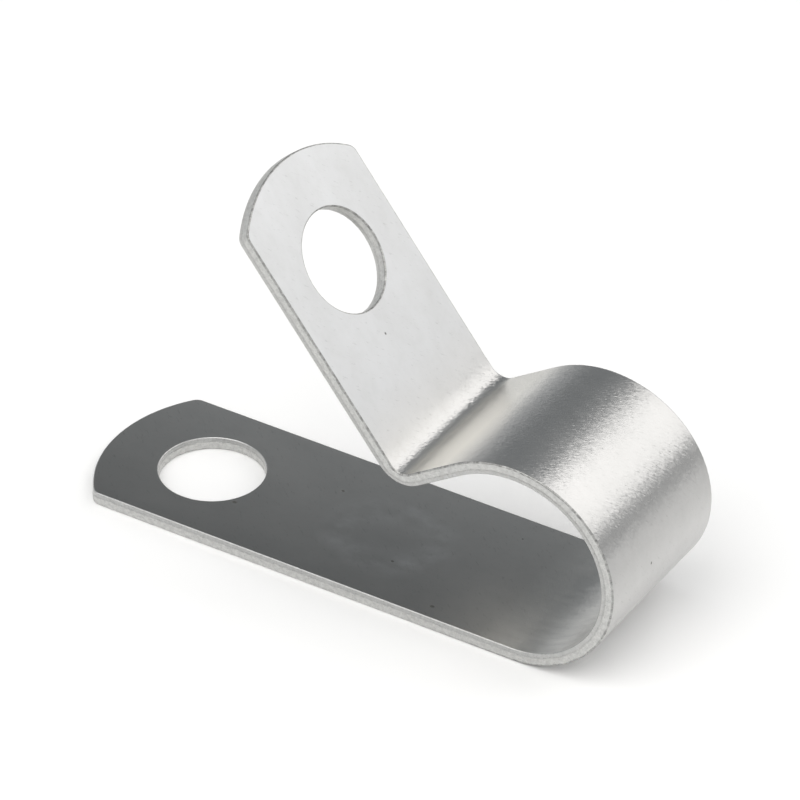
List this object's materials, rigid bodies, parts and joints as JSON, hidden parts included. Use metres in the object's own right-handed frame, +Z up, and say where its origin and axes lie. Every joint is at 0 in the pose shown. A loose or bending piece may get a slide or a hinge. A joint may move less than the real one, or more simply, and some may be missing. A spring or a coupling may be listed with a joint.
{
  "type": "cable clip",
  "caption": "Open metal P clip bent from one strip: a flat leg, a round cable loop and a raised tab, each end rounded and pierced for a screw.",
  "frame": {"origin": "centre of the leg's screw hole, on the leg's flat underside", "axes": "+X along the leg towards the loop, +Y across the strip along the cable, +Z up from the seating face towards the tab"},
  "size_m": [0.0414, 0.0126, 0.027],
  "materials": {
    "aluminium": "bare rolled mill finish, fine grain along the strip, rough sheared edges"
  },
  "bodies": {
    "root": {"clip": "aluminium"}
  },
  "joints": []
}
